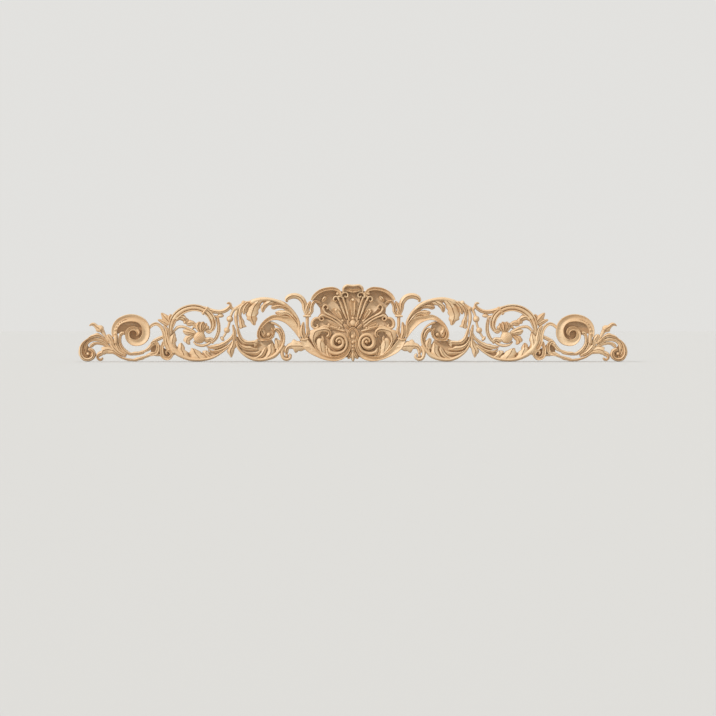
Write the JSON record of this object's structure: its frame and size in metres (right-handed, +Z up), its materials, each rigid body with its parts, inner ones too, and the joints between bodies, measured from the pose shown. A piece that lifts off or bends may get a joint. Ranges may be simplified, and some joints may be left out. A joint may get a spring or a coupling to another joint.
{
  "type": "carved wooden applique",
  "caption": "Long pierced scrollwork applique carved in low relief, with a shell at its middle and curling acanthus leaves running out to both ends, flat at the back for fixing on a panel.",
  "frame": {"origin": "centre of the flat back, on the middle line and half way up", "axes": "+X along the length, +Y out of the flat back towards the panel it is fixed to, +Z up to the crest; the carved face looks along -Y"},
  "size_m": [1.0952, 0.0251, 0.1542],
  "materials": {
    "carved_applique": "bare sanded beech, unfinished"
  },
  "bodies": {
    "root": {"carved_applique": "carved_applique"}
  },
  "joints": []
}
